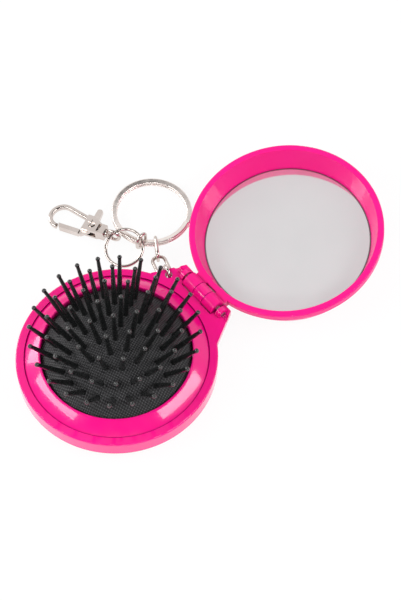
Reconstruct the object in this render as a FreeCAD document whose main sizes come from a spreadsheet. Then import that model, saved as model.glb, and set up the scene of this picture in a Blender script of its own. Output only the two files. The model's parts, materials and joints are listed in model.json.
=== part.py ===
import FreeCAD, Part
import math
import os
import Sketcher

# Pop-up hairbrush compact with a mirror lid and a key chain, in millimetres.
# The base stands on z = 0 with its axis on the origin, and the lid opens towards +X.

V = FreeCAD.Vector
doc = FreeCAD.newDocument("keychain_brush")
sheet = doc.addObject("Spreadsheet::Sheet", "sizes")

DIMENSIONS = {
    # Base case
    "base_radius": 33.0,
    "base_height": 10.8,
    "base_band": 5.8,
    "base_foot_inset": 4.5,
    "base_foot_round": 4.0,
    "floor_thickness": 1.4,
    "shell_wall": 1.8,
    "rim_width": 2.7,
    "rim_round": 0.5,
    "seat_depth": 4.0,
    "seat_thickness": 1.5,
    "seat_width": 6.7,
    # Collar that clamps the brush pad
    "collar_gap": 0.15,
    "collar_drop": 0.9,
    "collar_land": 1.1,
    "lip_inset": 7.8,
    "lip_rise": 2.6,
    "lip_width": 0.8,
    "lip_round": 0.35,
    "skirt_wall": 1.5,
    # Brush pad and push button
    "crown_radius": 33.8,
    "pad_edge_drop": 0.69,
    "pad_thickness": 1.7,
    "pad_gap": 0.3,
    "flange_thickness": 1.8,
    "button_radius": 7.5,
    "button_edge": 1.0,
    "button_gap": 0.3,
    "button_round": 0.3,
    "brush_turn_angle": 4.0,
    # Bristles, with each ring's lean as a share of the angle at the pad's edge
    "bristle_length": 15.0,
    "bristle_root_radius": 0.95,
    "bristle_root_length": 6.5,
    "bristle_taper_length": 1.6,
    "bristle_shaft_radius": 0.55,
    "bristle_ball_radius": 0.72,
    "bristle_seat": 1.2,
    "bristle_gap": 0.05,
    "lean_share_one": 0.18862,
    "lean_share_two": 0.37007,
    "lean_share_three": 0.55764,
    "lean_share_four": 0.72519,
    "count_one": 6,
    "count_two": 12,
    "count_three": 18,
    "count_four": 24,
    # Lid and mirror
    "lid_thickness": 12.0,
    "lid_band": 2.6,
    "lid_back_inset": 4.1,
    "lid_back_round": 3.0,
    "lid_rim_width": 2.15,
    "recess_depth": 8.5,
    "mirror_inset": 4.6,
    "mirror_thickness": 1.5,
    "mirror_gap": 0.1,
    "tape_thickness": 0.2,
    "tape_inset": 3.4,
    "lid_lift_angle": 8.1,
    "closing_gap": 0.3,
    # Hinge
    "hinge_offset": 3.3,
    "knuckle_radius": 2.9,
    "knuckle_gap": 0.2,
    "swing_gap": 0.3,
    "centre_half": 2.2,
    "lid_knuckle_length": 5.0,
    "cheek_pocket": 1.2,
    "cheek_length": 1.7,
    "cheek_radius": 2.1,
    "pin_radius": 1.0,
    "pin_fit": 0.02,
    "pin_running_gap": 0.06,
    "bracket_depth": 2.4,
    "bracket_half": 12.5,
    "bracket_near_half": 10.9,
    "flare_angle": 32.0,
    "arm_depth": 3.4,
    # Key lug
    "lug_hole_radius": 1.25,
    "lug_bar": 1.1,
    "lug_along": 5.5,
    # Chain links
    "wire_radius": 0.6,
    "link_inner_radius": 1.6,
    "link_inner_length": 7.6,
    "clasp_link_length": 5.0,
    "link_gap": 0.1,
    "link_stand_gap": 0.25,
    "chain_heading_angle": 70.9,
    "first_fall_angle": 60.0,
    # Split ring
    "ring_lift": 1.35,
    "ring_outer_radius": 14.1,
    "ring_wire_width": 2.0,
    "ring_wire_height": 0.9,
    "ring_turn_gap": 0.42,
    "ring_end_angle": -62.0,
    "chain_on_ring_angle": 238.0,
    "ring_contact_gap": 0.35,
    # Jump ring, which leans over the split ring's edge
    "jump_outer_radius": 7.15,
    "jump_wire_radius": 0.55,
    "jump_overlap": 2.0,
    "jump_on_ring_angle": 199.5,
    "jump_tilt_angle": 21.0,
    "jump_height": 3.35,
    "jump_gap": 0.3,
    "jump_seam_angle": 2.0,
    # Trigger clasp
    "eye_on_jump_angle": 73.0,
    "clasp_heading_angle": 116.5,
    "clasp_fall_angle": 6.0,
    "eye_radius": 2.15,
    "eye_wire_radius": 0.65,
    "stem_radius": 0.85,
    "stem_gap": 0.05,
    "stem_flange_radius": 1.45,
    "stem_flange_length": 0.7,
    "stem_head_radius": 1.25,
    "stem_head_length": 0.75,
    "clasp_thickness": 4.0,
    "slot_width": 2.2,
    "hook_thickness": 1.9,
    "hook_outer_radius": 5.1,
    "hook_wire": 1.65,
    "hook_round": 0.6,
    "hook_tip": 25.4,
    "hook_across": -0.9,
    "hook_lean_angle": 12.5,
    "hook_root": 10.3,
    "collar_start": 2.95,
    "collar_length": 2.0,
    "window_length": 1.0,
    "window_half": 1.5,
    "plate_neck_half": 1.95,
    "plate_wide": 8.9,
    "plate_top": 3.9,
    "plate_low": 2.3,
    "plate_end": 11.2,
    "block_start": 10.2,
    "block_low": 2.2,
    "rivet_along": 8.6,
    "rivet_across": -0.8,
    "rivet_radius": 0.85,
    "rivet_head_radius": 1.4,
    "rivet_head_height": 0.45,
    "rivet_slot_width": 0.35,
    "rivet_slot_depth": 0.3,
    "rivet_gap": 0.05,
    "lever_thickness": 1.3,
    "lever_lift": 0.25,
    "lever_boss_radius": 2.0,
    "gate_thickness": 2.3,
    "gate_inside": 2.55,
    "gate_width": 1.65,
    "gate_gap": 0.4,
    "tab_reach": 6.6,
    "tab_half": 1.0,
    "tab_end_radius": 1.2,
    "spring_radius": 1.35,
    "spring_wire_radius": 0.25,
}

for row, (alias, number) in enumerate(DIMENSIONS.items(), start=1):
    sheet.set(f"A{row}", alias)
    sheet.set(f"B{row}", str(number))
    sheet.setAlias(f"B{row}", alias)
doc.recompute()


class Size:
    """A dimension kept both as a number and as the expression that binds it to the sheet."""

    def __init__(self, value, text):
        self.value = value
        self.text = text

    def joined(self, sign, other, value):
        return Size(value, f"({self.text} {sign} {other.text})")

    def __add__(self, other):
        other = as_size(other)
        return self.joined("+", other, self.value + other.value)

    def __sub__(self, other):
        other = as_size(other)
        return self.joined("-", other, self.value - other.value)

    def __mul__(self, other):
        other = as_size(other)
        return self.joined("*", other, self.value * other.value)

    def __truediv__(self, other):
        other = as_size(other)
        return self.joined("/", other, self.value / other.value)

    def __radd__(self, other):
        return as_size(other) + self

    def __rsub__(self, other):
        return as_size(other) - self

    def __rmul__(self, other):
        return as_size(other) * self

    def __neg__(self):
        return Size(-self.value, f"(0 - {self.text})")


def as_size(item):
    return item if isinstance(item, Size) else Size(float(item), f"({float(item)})")


def size(alias):
    return Size(float(sheet.get(alias)), f"sizes.{alias}")


def root(item):
    return Size(math.sqrt(item.value), f"sqrt({item.text})")


def sine(angle):
    return Size(math.sin(math.radians(angle.value)), f"sin({angle.text} * 1 deg)")


def cosine(angle):
    return Size(math.cos(math.radians(angle.value)), f"cos({angle.text} * 1 deg)")


def arcsine(item):
    return Size(math.degrees(math.asin(item.value)), f"(asin({item.text}) / 1 deg)")


def bind(thing, **sizes):
    """Bind properties of a document object to the sheet."""
    for name, item in sizes.items():
        thing.setExpression(name, as_size(item).text)


def place(thing, x=0.0, y=0.0, z=0.0, axis=V(0, 0, 1), angle=0.0):
    """Put an object at a bound position, turned about one axis by a bound angle."""
    x, y, z, angle = as_size(x), as_size(y), as_size(z), as_size(angle)
    turn = FreeCAD.Rotation(axis, angle.value)
    thing.Placement = FreeCAD.Placement(V(x.value, y.value, z.value), turn)
    thing.setExpression("Placement.Base.x", x.text)
    thing.setExpression("Placement.Base.y", y.text)
    thing.setExpression("Placement.Base.z", z.text)
    if angle.value:
        thing.setExpression("Placement.Rotation.Angle", angle.text)


# Bodies and sketches

def new_body(label):
    body = doc.addObject("PartDesign::Body", label)
    body.Label = label
    return body


def origin_feature(body, role):
    return next(item for item in body.Origin.OriginFeatures if item.Role == role)


def new_sketch(body, name, plane, along=0.0, lean=0.0, lift=0.0):
    """A sketch on an origin plane, raised along its normal, and leaned about a raised point."""
    sketch = body.newObject("Sketcher::SketchObject", name)
    sketch.AttachmentSupport = [(origin_feature(body, plane), "")]
    sketch.MapMode = "FlatFace"
    along, lean, lift = as_size(along), as_size(lean), as_size(lift)
    turn = FreeCAD.Rotation(V(0, 0, -1), lean.value)
    sketch.AttachmentOffset = FreeCAD.Placement(V(0, lift.value, along.value), turn)
    sketch.setExpression("AttachmentOffset.Base.y", lift.text)
    sketch.setExpression("AttachmentOffset.Base.z", along.text)
    if lean.value:
        sketch.setExpression("AttachmentOffset.Rotation.Angle", lean.text)
    return sketch


def arc_between(start, end, radius, turn):
    """The minor arc from start to end; turn is 1 when it runs anticlockwise, -1 clockwise."""
    chord = end - start
    middle = (start + end) * 0.5
    height = math.sqrt(max(radius ** 2 - (chord.Length / 2) ** 2, 0.0))
    side = V(-chord.y, chord.x, 0).normalize()
    centre = middle + side * (height * turn)
    first, last = (start, end) if turn > 0 else (end, start)
    from_angle = math.atan2(first.y - centre.y, first.x - centre.x)
    to_angle = math.atan2(last.y - centre.y, last.x - centre.x)
    return Part.ArcOfCircle(Part.Circle(centre, V(0, 0, 1), radius), from_angle, to_angle)


def draw(sketch, corners):
    """Draw a closed outline. A corner is (x, y), or (x, y, radius, turn) where an arc ends at it."""
    points = [V(as_size(corner[0]).value, as_size(corner[1]).value, 0) for corner in corners]
    ends = []
    for index, corner in enumerate(corners):
        start, end = points[index - 1], points[index]
        if len(corner) == 2:
            geometry = sketch.addGeometry(Part.LineSegment(start, end))
            ends.append((geometry, 1, 2))
            continue
        radius, turn = as_size(corner[2]), corner[3]
        geometry = sketch.addGeometry(arc_between(start, end, radius.value, turn))
        ends.append((geometry, 1, 2) if turn > 0 else (geometry, 2, 1))
    for index, (geometry, begin, finish) in enumerate(ends):
        following, following_begin, _ = ends[(index + 1) % len(ends)]
        sketch.addConstraint(Sketcher.Constraint("Coincident", geometry, finish, following, following_begin))
    for index, corner in enumerate(corners):
        geometry, _, finish = ends[index]
        fix_point(sketch, geometry, finish, as_size(corner[0]), as_size(corner[1]))
        if len(corner) > 2:
            radius = as_size(corner[2])
            row = sketch.addConstraint(Sketcher.Constraint("Radius", geometry, radius.value))
            sketch.setExpression(f"Constraints[{row}]", radius.text)


def fix_point(sketch, geometry, point, x, y):
    for kind, item in (("DistanceX", x), ("DistanceY", y)):
        if item.text == "(0.0)":
            axis = -2 if kind == "DistanceX" else -1
            sketch.addConstraint(Sketcher.Constraint("PointOnObject", geometry, point, axis))
            continue
        row = sketch.addConstraint(Sketcher.Constraint(kind, -1, 1, geometry, point, item.value))
        sketch.setExpression(f"Constraints[{row}]", item.text)


def draw_circle(sketch, x, y, radius):
    x, y, radius = as_size(x), as_size(y), as_size(radius)
    circle = Part.Circle(V(x.value, y.value, 0), V(0, 0, 1), radius.value)
    geometry = sketch.addGeometry(circle)
    fix_point(sketch, geometry, 3, x, y)
    row = sketch.addConstraint(Sketcher.Constraint("Radius", geometry, radius.value))
    sketch.setExpression(f"Constraints[{row}]", radius.text)


def turned(body, sketch, kind="PartDesign::Revolution"):
    """Revolve a sketch about its own vertical axis, to add or, as a groove, to cut."""
    feature = body.newObject(kind, f"{sketch.Name}_turn")
    feature.Profile = sketch
    feature.ReferenceAxis = (sketch, ["V_Axis"])
    feature.Angle = 360
    doc.recompute()
    return feature


def padded(body, sketch, length, symmetric=False):
    feature = body.newObject("PartDesign::Pad", f"{sketch.Name}_pad")
    feature.Profile = sketch
    bind(feature, Length=length)
    if symmetric:
        feature.SideType = "Symmetric"
    doc.recompute()
    return feature


def pocketed(body, sketch, length=None):
    """Cut a sketch through everything, or to a length on both sides of its plane together."""
    before = body.Shape.Volume
    feature = body.newObject("PartDesign::Pocket", f"{sketch.Name}_cut")
    feature.Profile = sketch
    feature.SideType = "Symmetric"
    if length is None:
        feature.Type = "ThroughAll"
    else:
        bind(feature, Length=length)
    doc.recompute()
    if body.Shape.Volume >= before:
        raise RuntimeError(f"{sketch.Name} cuts nothing")
    return feature


def repeated(body, feature, count):
    pattern = body.newObject("PartDesign::PolarPattern", f"{feature.Name}_ring")
    pattern.Originals = [feature]
    pattern.Axis = (origin_feature(body, "Z_Axis"), [""])
    pattern.Angle = 360
    bind(pattern, Occurrences=count)
    body.Tip = pattern
    doc.recompute()
    return pattern


def rounded(body, radius, chosen):
    """Fillet the edges of the body's tip that the test picks out."""
    tip = body.Tip
    names = [f"Edge{index}" for index, edge in enumerate(tip.Shape.Edges, start=1) if chosen(edge)]
    if not names:
        raise RuntimeError(f"{body.Label} has no edge to round")
    feature = body.newObject("PartDesign::Fillet", f"{tip.Name}_round")
    feature.Base = (tip, names)
    bind(feature, Radius=radius)
    doc.recompute()
    return feature


def ring_edge(radius, height):
    """A test for a full circle about the body's axis at a radius and height."""
    def chosen(edge):
        if edge.Degenerated:
            return False
        curve = edge.Curve
        if not isinstance(curve, Part.Circle):
            return False
        level = abs(curve.Center.z - height.value) < 1e-4
        return level and abs(curve.Radius - radius.value) < 1e-4 and abs(curve.Axis.z) > 0.99
    return chosen


# Shared places

base_radius = size("base_radius")
base_height = size("base_height")
rim_inner = base_radius - size("rim_width")
seat_level = base_height - size("seat_depth")
button_hole = size("button_radius") + size("button_gap")
lip_radius = base_radius - size("lip_inset")
mirror_radius = base_radius - size("mirror_inset")
crown_radius = size("crown_radius")
pad_edge = lip_radius - size("pad_gap")
edge_angle = arcsine(pad_edge / crown_radius)
crown_centre = base_height - size("pad_edge_drop") - root(crown_radius * crown_radius - pad_edge * pad_edge)
collar_outer = rim_inner - size("collar_gap")
skirt_inner = collar_outer - size("skirt_wall")
flange_top = seat_level + size("flange_thickness")
hinge_reach = base_radius + size("hinge_offset")
hinge_level = base_height + size("closing_gap") / 2
knuckle_radius = size("knuckle_radius")
centre_half = size("centre_half")
lid_knuckle_start = centre_half + size("knuckle_gap")
lid_knuckle_end = lid_knuckle_start + size("lid_knuckle_length")
notch_end = lid_knuckle_end + size("knuckle_gap")
cheek_start = lid_knuckle_end + size("cheek_pocket")
cheek_end = cheek_start + size("cheek_length")
bracket_inner = base_radius - size("rim_width") / 2
flare_x = base_radius * cosine(size("flare_angle"))
flare_y = base_radius * sine(size("flare_angle"))
bracket_front = hinge_reach + knuckle_radius
flare_run_x = bracket_front - flare_x
flare_run_y = size("bracket_half") - flare_y
flare_run = root(flare_run_x * flare_run_x + flare_run_y * flare_run_y)
flare_along_x = flare_run_x / flare_run
flare_along_y = flare_run_y / flare_run
lug_inset = size("lug_bar") + size("lug_hole_radius")
lug_x = flare_x + size("lug_along") * flare_along_x + lug_inset * flare_along_y
lug_y = flare_y + size("lug_along") * flare_along_y - lug_inset * flare_along_x


def barrel(body, name, start, length, level, reach, radius=knuckle_radius):
    """A hinge knuckle: a round barrel along Y, from start, centred on the hinge axis."""
    sketch = new_sketch(body, name, "XZ_Plane", along=-(start + length))
    draw_circle(sketch, reach, level, radius)
    return padded(body, sketch, length)


def pin_bore(body, name, radius, level, reach):
    sketch = new_sketch(body, name, "XZ_Plane")
    draw_circle(sketch, reach, level, radius)
    return pocketed(body, sketch)


def make_base_shell():
    body = new_body("base_shell")
    wall = size("shell_wall")
    foot = base_radius - size("base_foot_inset")
    seat_radius = rim_inner - size("seat_width")
    band_level = base_height - size("base_band")
    slope = (base_radius - foot) / band_level
    under_seat = seat_level - size("seat_thickness")
    inner_foot = foot - wall + size("floor_thickness") * slope
    inner_wall = foot - wall + under_seat * slope
    profile = new_sketch(body, "base_profile", "XZ_Plane")
    draw(profile, [
        (button_hole, 0.0),
        (foot, 0.0),
        (base_radius, band_level),
        (base_radius, base_height),
        (rim_inner, base_height),
        (rim_inner, seat_level),
        (seat_radius, seat_level),
        (seat_radius, under_seat),
        (inner_wall, under_seat),
        (inner_foot, size("floor_thickness")),
        (button_hole, size("floor_thickness")),
    ])
    turned(body, profile)
    rounded(body, size("base_foot_round"), ring_edge(foot, as_size(0)))
    rounded(body, size("rim_round"), ring_edge(base_radius, base_height))

    # Flared bracket that carries the hinge and the key lug
    bracket = new_sketch(body, "bracket_outline", "XY_Plane", along=base_height - size("bracket_depth"))
    inner_x = bracket_inner * cosine(size("flare_angle"))
    inner_y = bracket_inner * sine(size("flare_angle"))
    draw(bracket, [
        (inner_x, -inner_y, bracket_inner, -1),
        (flare_x, -flare_y),
        (bracket_front, -size("bracket_near_half")),
        (bracket_front, size("bracket_half")),
        (flare_x, flare_y),
        (inner_x, inner_y),
    ])
    padded(body, bracket, size("bracket_depth"))
    barrel(body, "centre_knuckle", -centre_half, centre_half * 2, hinge_level, hinge_reach)
    cheek, cheek_radius = size("cheek_length"), size("cheek_radius")
    barrel(body, "near_cheek", -cheek_end, cheek, hinge_level, hinge_reach, cheek_radius)
    barrel(body, "far_cheek", cheek_start, cheek, hinge_level, hinge_reach, cheek_radius)
    cut_notches(body, "lid_notch", centre_half, notch_end)
    pin_bore(body, "base_pin_bore", size("pin_radius") + size("pin_fit"), hinge_level, hinge_reach)
    hole = new_sketch(body, "lug_hole", "XY_Plane")
    draw_circle(hole, lug_x, lug_y, size("lug_hole_radius"))
    pocketed(body, hole)
    return body


def cut_notches(body, name, start, end):
    """Clear the room in which the lid's knuckles and arms turn, on both sides of the middle."""
    for side in (1, -1):
        hollow = new_sketch(body, f"{name}_hollow", "XZ_Plane", along=(start + end) / 2 * side)
        draw_circle(hollow, hinge_reach, hinge_level, knuckle_radius + size("swing_gap"))
        pocketed(body, hollow, end - start)
    front = bracket_front + knuckle_radius
    sketch = new_sketch(body, f"{name}_front", "XY_Plane")
    draw(sketch, [(hinge_reach, start), (front, start), (front, end), (hinge_reach, end)])
    draw(sketch, [(hinge_reach, -end), (front, -end), (front, -start), (hinge_reach, -start)])
    return pocketed(body, sketch)


def make_brush_collar():
    body = new_body("brush_collar")
    land_level = base_height - size("collar_drop")
    lip_level = base_height + size("lip_rise")
    lip_outer = lip_radius + size("lip_width")
    profile = new_sketch(body, "collar_profile", "XZ_Plane")
    draw(profile, [
        (lip_radius, flange_top),
        (skirt_inner, flange_top),
        (skirt_inner, seat_level),
        (collar_outer, seat_level),
        (collar_outer, land_level),
        (collar_outer - size("collar_land"), land_level),
        (lip_outer, lip_level),
        (lip_radius, lip_level),
    ])
    turned(body, profile)
    rounded(body, size("lip_round"), ring_edge(lip_radius, lip_level))
    return body


def make_cushion_pad():
    """Domed rubber diaphragm with a flange under the collar and a blind socket for each bristle."""
    body = new_body("cushion_pad")
    inner_radius = crown_radius - size("pad_thickness")
    inner_edge = pad_edge - size("pad_thickness")
    outer_drop = crown_centre + root(crown_radius * crown_radius - pad_edge * pad_edge)
    inner_drop = crown_centre + root(inner_radius * inner_radius - inner_edge * inner_edge)
    profile = new_sketch(body, "pad_profile", "XZ_Plane")
    draw(profile, [
        (0.0, crown_centre + inner_radius),
        (inner_edge, inner_drop, inner_radius, -1),
        (inner_edge, seat_level),
        (skirt_inner - size("pad_gap"), seat_level),
        (skirt_inner - size("pad_gap"), flange_top),
        (pad_edge, flange_top),
        (pad_edge, outer_drop),
        (0.0, crown_centre + crown_radius, crown_radius, 1),
    ])
    turned(body, profile)
    socket = size("bristle_root_radius") + size("bristle_gap")
    floor = crown_radius - size("bristle_seat") - size("bristle_gap")
    for name, plane, lean, count in bristle_rings():
        sketch = new_sketch(body, f"socket_{name}", plane, lean=lean, lift=crown_centre)
        top = crown_radius + size("bristle_seat")
        draw(sketch, [(0.0, floor), (socket, floor), (socket, top), (0.0, top)])
        groove = turned(body, sketch, "PartDesign::Groove")
        if count is not None:
            repeated(body, groove, count)
    place(body, angle=size("brush_turn_angle"))
    return body


def bristle_rings():
    """Each ring's name, the plane of its first bristle, its lean from the axis and its count."""
    return [
        ("centre", "XZ_Plane", 0.0, None),
        ("ring_1", "YZ_Plane", edge_angle * size("lean_share_one"), size("count_one")),
        ("ring_2", "XZ_Plane", edge_angle * size("lean_share_two"), size("count_two")),
        ("ring_3", "YZ_Plane", edge_angle * size("lean_share_three"), size("count_three")),
        ("ring_4", "XZ_Plane", edge_angle * size("lean_share_four"), size("count_four")),
    ]


def make_bristles(label, plane, lean, count):
    """Ball-tipped bristles square to the crown, drawn upright from the crown's centre."""
    body = new_body(label)
    root_end = crown_radius + size("bristle_root_length")
    shaft_start = root_end + size("bristle_taper_length")
    ball = size("bristle_ball_radius")
    shaft = size("bristle_shaft_radius")
    tip = crown_radius + size("bristle_length")
    ball_start = tip - ball - root(ball * ball - shaft * shaft)
    sketch = new_sketch(body, f"{label}_profile", plane, lean=lean, lift=crown_centre)
    draw(sketch, [
        (0.0, crown_radius - size("bristle_seat")),
        (size("bristle_root_radius"), crown_radius - size("bristle_seat")),
        (size("bristle_root_radius"), root_end),
        (shaft, shaft_start),
        (shaft, ball_start),
        (ball, tip - ball, ball, 1),
        (0.0, tip, ball, 1),
    ])
    bristle = turned(body, sketch)
    if count is not None:
        repeated(body, bristle, count)
    place(body, angle=size("brush_turn_angle"))
    return body


def make_push_button():
    """Dished disc behind the middle of the pad, pressed through the hole in the base's back."""
    body = new_body("push_button")
    radius = size("button_radius")
    dish = crown_radius - size("pad_thickness") - size("button_gap")
    edge_level = crown_centre + root(dish * dish - radius * radius)
    profile = new_sketch(body, "button_profile", "XZ_Plane")
    draw(profile, [
        (0.0, edge_level - size("button_edge")),
        (radius, edge_level - size("button_edge")),
        (radius, edge_level),
        (0.0, crown_centre + dish, dish, 1),
    ])
    turned(body, profile)
    rounded(body, size("button_round"), ring_edge(radius, edge_level - size("button_edge")))
    return body


def place_on_lid(thing):
    """Hang a piece drawn in the lid's frame, rim plane up, on the hinge at the open angle."""
    lift = size("lid_lift_angle")
    half_gap = size("closing_gap") / 2
    x = hinge_reach + hinge_reach * cosine(lift) + half_gap * sine(lift)
    z = hinge_level + hinge_reach * sine(lift) - half_gap * cosine(lift)
    place(thing, x=x, z=z, axis=V(0, -1, 0), angle=lift)


def make_lid_shell():
    body = new_body("lid_shell")
    back = base_radius - size("lid_back_inset")
    thickness = size("lid_thickness")
    pocket = mirror_radius + size("mirror_gap")
    pocket_floor = size("recess_depth") + size("mirror_thickness") + size("tape_thickness")
    profile = new_sketch(body, "lid_profile", "XZ_Plane")
    draw(profile, [
        (0.0, -thickness),
        (back, -thickness),
        (base_radius, -size("lid_band")),
        (base_radius, 0.0),
        (base_radius - size("lid_rim_width"), 0.0),
        (pocket, -size("recess_depth")),
        (pocket, -pocket_floor),
        (0.0, -pocket_floor),
    ])
    turned(body, profile)
    rounded(body, size("lid_back_round"), ring_edge(back, -thickness))
    rounded(body, size("rim_round"), ring_edge(base_radius, as_size(0)))

    # Two arms and knuckles that turn between those of the base
    arms = new_sketch(body, "arm_outline", "XY_Plane", along=-size("arm_depth"))
    inner = -bracket_inner * cosine(size("flare_angle") / 2)
    for side in (1, -1):
        low, high = (lid_knuckle_start, lid_knuckle_end) if side > 0 else (-lid_knuckle_end, -lid_knuckle_start)
        draw(arms, [(-hinge_reach, low), (inner, low), (inner, high), (-hinge_reach, high)])
    padded(body, arms, size("arm_depth"))
    level = size("closing_gap") / 2
    length = size("lid_knuckle_length")
    barrel(body, "near_lid_knuckle", -lid_knuckle_end, length, level, -hinge_reach)
    barrel(body, "far_lid_knuckle", lid_knuckle_start, length, level, -hinge_reach)
    pin_bore(body, "lid_pin_bore", size("pin_radius") + size("pin_running_gap"), level, -hinge_reach)
    place_on_lid(body)
    return body


def make_disc(label, radius, top, thickness):
    """A flat round plate in the lid, from its top level down."""
    disc = doc.addObject("Part::Cylinder", label)
    disc.Label = label
    bind(disc, Radius=radius, Height=thickness)
    lift = size("lid_lift_angle")
    half_gap = size("closing_gap") / 2
    bottom = top - thickness
    x = hinge_reach + hinge_reach * cosine(lift) + (half_gap - bottom) * sine(lift)
    z = hinge_level + hinge_reach * sine(lift) + (bottom - half_gap) * cosine(lift)
    place(disc, x=x, z=z, axis=V(0, -1, 0), angle=lift)
    return disc


def make_hinge_pin():
    pin = doc.addObject("Part::Cylinder", "hinge_pin")
    pin.Label = "hinge_pin"
    bind(pin, Radius=size("pin_radius"), Height=cheek_end * 2)
    place(pin, x=hinge_reach, y=cheek_end, z=hinge_level, axis=V(1, 0, 0), angle=90.0)
    return pin


# Chain links

wire_radius = size("wire_radius")
link_inner = size("link_inner_radius")
link_bend = link_inner + wire_radius
ring_radius = size("ring_outer_radius") - size("ring_wire_width") / 2


def heading(angle, fall=0.0):
    """A unit vector at an angle about Z, falling below the horizontal, in degrees."""
    flat = math.cos(math.radians(fall))
    turn = math.radians(angle)
    return V(flat * math.cos(turn), flat * math.sin(turn), -math.sin(math.radians(fall)))


def upright(along):
    """The level direction square to a link that stands on its edge."""
    return along.cross(V(0, 0, 1)).normalize()


def turned_to(along, normal):
    """The turn that lays a piece's X along a direction and its Z along a normal."""
    return FreeCAD.Rotation(along, normal.cross(along), normal, "XZY")


def make_link(label, inner_length, middle, along, normal):
    """An oval wire link about its middle, in the plane that the normal is square to."""
    straight = inner_length - link_inner * 2
    pieces = []
    for side in (1, -1):
        bend = doc.addObject("Part::Torus", f"{label}_bend")
        bind(bend, Radius1=link_bend, Radius2=wire_radius, Angle3=180)
        place(bend, x=straight / 2 * side, axis=V(0, 0, 1), angle=-90 * side)
        run = doc.addObject("Part::Cylinder", f"{label}_run")
        bind(run, Radius=wire_radius, Height=straight)
        place(run, x=-straight / 2, y=link_bend * side, axis=V(0, 1, 0), angle=90)
        pieces += [bend, run]
    link = doc.addObject("Part::MultiFuse", label)
    link.Label = label
    link.Shapes = pieces
    link.Placement = FreeCAD.Placement(middle, turned_to(along, normal))
    return link


def chain_course():
    """Each link's middle, direction and normal, and the split ring's centre at the chain's end."""
    straight = (size("link_inner_length") - link_inner * 2).value
    hold = (link_inner - wire_radius - size("link_gap")).value
    bend = link_bend.value
    lug = V(lug_x.value, lug_y.value, (base_height - size("bracket_depth") / 2).value)
    outward = V(-flare_along_y.value, flare_along_x.value, 0)
    start = lug + outward * (size("lug_hole_radius") + size("lug_bar") / 2).value
    stand = (link_bend + wire_radius + size("link_stand_gap")).value

    # The first link hangs from the lug, and the second slopes down to the third on the table.
    first_length = straight + hold
    second_length = bend + straight + hold
    course = size("chain_heading_angle").value
    first = heading(course, size("first_fall_angle").value)
    drop = start.z + first.z * first_length - stand
    second = heading(course, math.degrees(math.asin(drop / second_length)))
    inward = heading(size("chain_on_ring_angle").value + 180)
    second_start = start + first * first_length + second * bend
    third_start = start + first * first_length + second * second_length + inward * bend
    third_end = third_start + inward * straight
    grip = (size("ring_wire_width") / 2 + size("ring_contact_gap")).value
    ring_centre = third_end + inward * (link_inner.value - grip + ring_radius.value)
    ring_centre.z = 0
    links = [
        ("chain_link_1", start + first * (straight / 2), first, upright(first)),
        ("chain_link_2", second_start + second * (straight / 2), second, upright(second).cross(second)),
        ("chain_link_3", third_start + inward * (straight / 2), inward, upright(inward)),
    ]
    return links, ring_centre


def clasp_course(ring_centre):
    """The clasp link's middle and normal, and the seats of the jump ring and of the clasp."""
    wire = size("jump_wire_radius").value
    radius = (size("jump_outer_radius") - size("jump_wire_radius")).value
    reach = ring_radius.value + radius - size("jump_overlap").value
    side = size("jump_on_ring_angle").value
    tilt = size("jump_tilt_angle").value
    centre = ring_centre + heading(side) * reach
    centre.z = size("jump_height").value
    high = heading(side + 180, -tilt)
    level = V(0, 0, 1).cross(high).normalize()

    # The jump ring leans over the split ring, and the clasp link stands where the two wires cross.
    flat_reach = reach * math.cos(math.radians(tilt))
    lean = math.sin(math.radians(tilt)) ** 2
    spare = radius ** 2 + reach ** 2 - ring_radius.value ** 2
    share = (math.sqrt(flat_reach ** 2 + spare * lean) - flat_reach) / (radius * lean)
    swing = math.sqrt(1 - share ** 2)
    met = centre + high * (radius * share) - level * (radius * swing)
    spoke = met - ring_centre
    spoke.z = 0
    spoke.normalize()
    jump_tangent = high * swing + level * share
    jump_tangent.z = 0
    jump_tangent.normalize()
    link_normal = (spoke.cross(V(0, 0, 1)) + jump_tangent).normalize()
    link_middle = V(met.x, met.y, 0)
    link_middle.z = (size("link_stand_gap") + wire_radius * 2 + size("clasp_link_length") / 2).value

    turn = math.radians(size("eye_on_jump_angle").value)
    held = centre + (high * math.cos(turn) + level * math.sin(turn)) * radius
    along = heading(size("clasp_heading_angle").value, size("clasp_fall_angle").value)
    slack = (size("eye_radius") - size("eye_wire_radius") - size("jump_gap")).value - wire
    jump_seat = FreeCAD.Placement(centre, turned_to(high, high.cross(level)))
    clasp_seat = FreeCAD.Placement(held - along * slack, turned_to(along, upright(along).cross(along)))
    return link_middle, link_normal, jump_seat, clasp_seat


# Key hardware

def make_split_ring(centre):
    """Two flat turns of wire, each turn climbing past the other on tilted half circles."""
    radius = ring_radius.value
    width, height = size("ring_wire_width").value, size("ring_wire_height").value
    step = (height + size("ring_turn_gap").value) / 2
    edges = []
    for half in range(4):
        side = 1 if half % 2 == 0 else -1
        low = half * step
        edges.append(Part.Arc(
            V(radius * side, 0, low), V(0, radius * side, low + step / 2), V(-radius * side, 0, low + step)
        ).toShape())
    path = Part.Wire(edges)
    corner = height / 2
    inner, outer = radius - width / 2 + corner, radius + width / 2 - corner
    section = Part.Wire([
        Part.LineSegment(V(inner, 0, -corner), V(outer, 0, -corner)).toShape(),
        Part.Arc(V(outer, 0, -corner), V(outer + corner, 0, 0), V(outer, 0, corner)).toShape(),
        Part.LineSegment(V(outer, 0, corner), V(inner, 0, corner)).toShape(),
        Part.Arc(V(inner, 0, corner), V(inner - corner, 0, 0), V(inner, 0, -corner)).toShape(),
    ])
    ring = doc.addObject("Part::Feature", "split_ring")
    ring.Label = "split_ring"
    ring.Shape = path.makePipeShell([section], True, False)
    turn = FreeCAD.Rotation(V(0, 0, 1), size("ring_end_angle").value)
    ring.Placement = FreeCAD.Placement(V(centre.x, centre.y, size("ring_lift").value), turn)
    print("split ring gap between turns", round(2 * step - height, 3))
    return ring


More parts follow.
